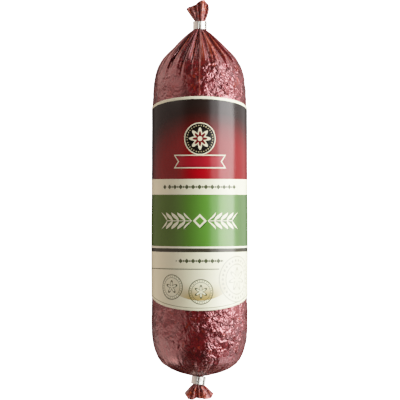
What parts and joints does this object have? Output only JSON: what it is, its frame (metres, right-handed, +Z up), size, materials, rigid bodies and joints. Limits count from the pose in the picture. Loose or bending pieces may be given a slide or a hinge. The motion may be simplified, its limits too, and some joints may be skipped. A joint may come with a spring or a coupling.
{
  "type": "cured sausage",
  "caption": "Dry-cured sausage in a red-brown casing, gathered and clipped at both ends with pleated tails, in a wrapped paper label, lying on its side.",
  "frame": {"origin": "on the surface that the sausage rests on, under the middle of its length and width", "axes": "+Z up, through the front of the label; +Y along the sausage, towards its pointed end; +X to the right as the label is read"},
  "size_m": [0.0604, 0.2501, 0.0594],
  "materials": {
    "cured_meat": "satin",
    "collagen_casing": "gloss",
    "label_paper": "satin",
    "clip_aluminium": "satin"
  },
  "bodies": {
    "root": {"meat": "cured_meat", "casing": "collagen_casing", "label": "label_paper", "pointed_end_clip": "clip_aluminium", "blunt_end_clip": "clip_aluminium"}
  },
  "joints": []
}
